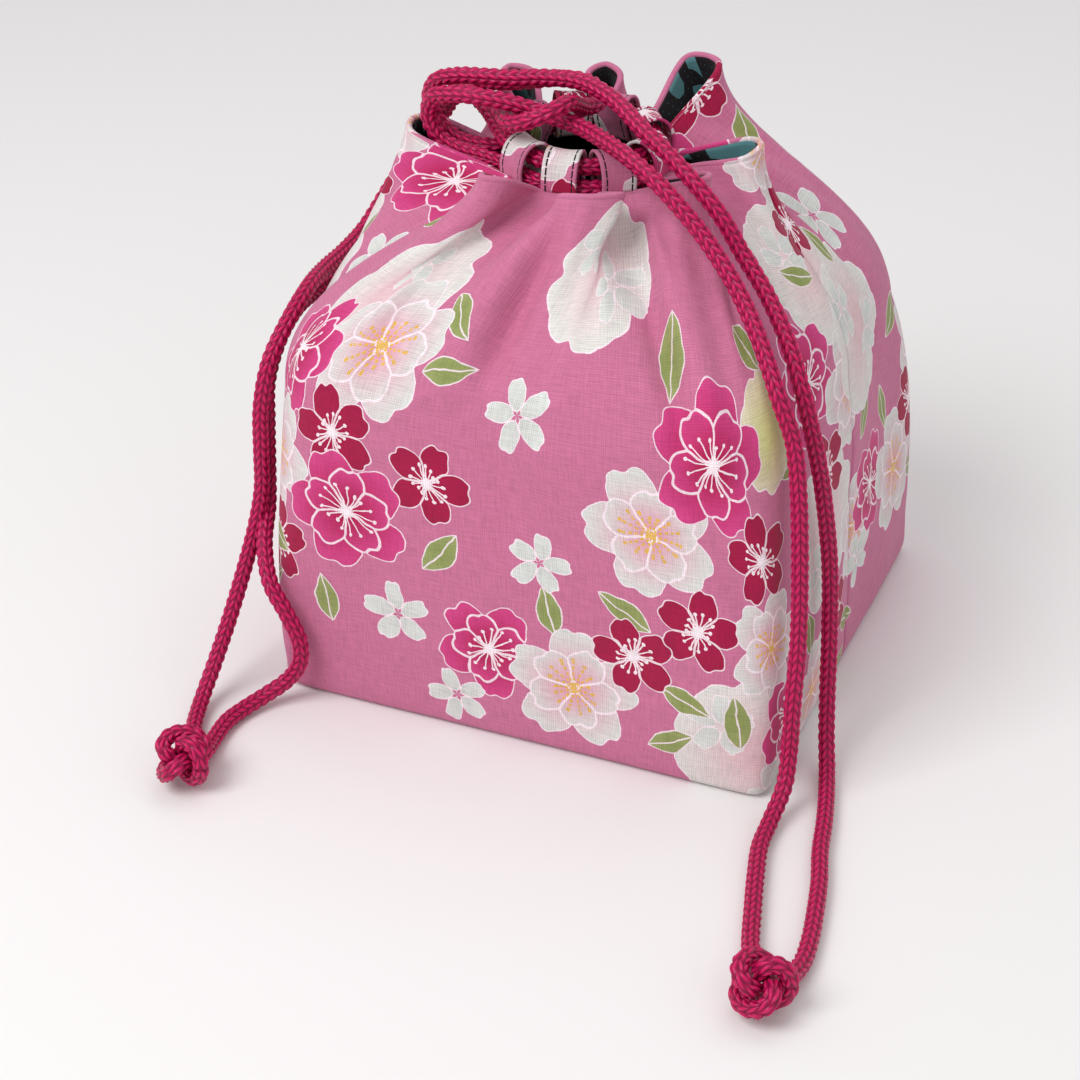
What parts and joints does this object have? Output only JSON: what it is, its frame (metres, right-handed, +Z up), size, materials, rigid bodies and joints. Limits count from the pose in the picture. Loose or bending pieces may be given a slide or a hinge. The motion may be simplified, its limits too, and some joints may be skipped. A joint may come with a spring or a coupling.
{
  "type": "drawstring pouch",
  "caption": "Boxed-base fabric pouch with a gathered mouth, cloth cord loops and knotted braided drawstrings.",
  "frame": {"origin": "centre of the square base on the ground", "axes": "+Z up, -Y towards the front panel, +X towards the right side seam"},
  "size_m": [0.2017, 0.24, 0.1757],
  "materials": {
    "printed_cotton": "plain-weave cotton, pink ground with a printed blossom pattern",
    "lining_cotton": "plain-weave cotton, near-black with small teal figures",
    "braided_cord": "satin braided cord, crimson pink"
  },
  "bodies": {
    "root": {"outer_front_panel": "printed_cotton", "outer_back_panel": "printed_cotton", "lining_front_panel": "lining_cotton", "lining_back_panel": "lining_cotton", "cord_loop_1": "printed_cotton", "cord_loop_2": "printed_cotton", "cord_loop_3": "printed_cotton", "cord_loop_4": "printed_cotton", "cord_loop_5": "printed_cotton", "cord_loop_6": "printed_cotton", "cord_loop_7": "printed_cotton", "cord_loop_8": "printed_cotton", "right_drawstring": "braided_cord", "left_drawstring": "braided_cord"}
  },
  "joints": []
}
